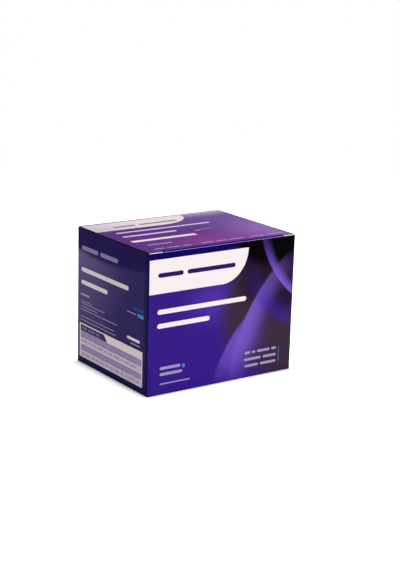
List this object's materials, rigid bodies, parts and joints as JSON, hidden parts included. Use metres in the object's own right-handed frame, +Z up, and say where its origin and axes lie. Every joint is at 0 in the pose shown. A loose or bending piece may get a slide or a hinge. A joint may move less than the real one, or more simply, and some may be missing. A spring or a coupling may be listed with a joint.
{
  "type": "folding carton of hypodermic needles",
  "caption": "Tuck-top carton of thin printed board with a hinged lid and slit-lock tuck flap, holding stacked strips of sealed needle packs.",
  "frame": {"origin": "middle of the base, on the surface that the carton stands on", "axes": "+X along the front to the right, +Y from the front to the back, +Z up"},
  "size_m": [0.11, 0.084, 0.09],
  "materials": {
    "printed_board": "satin",
    "blister_paper": "matte"
  },
  "bodies": {
    "carton": {"carton_body": "printed_board", "needle_strip_left_01": "blister_paper", "needle_strip_left_02": "blister_paper", "needle_strip_left_03": "blister_paper", "needle_strip_left_04": "blister_paper", "needle_strip_left_05": "blister_paper", "needle_strip_left_06": "blister_paper", "needle_strip_left_07": "blister_paper", "needle_strip_left_08": "blister_paper", "needle_strip_left_09": "blister_paper", "needle_strip_left_10": "blister_paper", "needle_strip_right_01": "blister_paper", "needle_strip_right_02": "blister_paper", "needle_strip_right_03": "blister_paper", "needle_strip_right_04": "blister_paper", "needle_strip_right_05": "blister_paper", "needle_strip_right_06": "blister_paper", "needle_strip_right_07": "blister_paper", "needle_strip_right_08": "blister_paper", "needle_strip_right_09": "blister_paper", "needle_strip_right_10": "blister_paper"},
    "lid": {"lid": "printed_board"}
  },
  "joints": [
    {"name": "lid_hinge", "type": "hinge", "parent": "carton", "child": "lid", "pos_m": [0, 0.042, 0.09], "axis": [-1, 0, 0], "range_deg": [0, 265]}
  ]
}
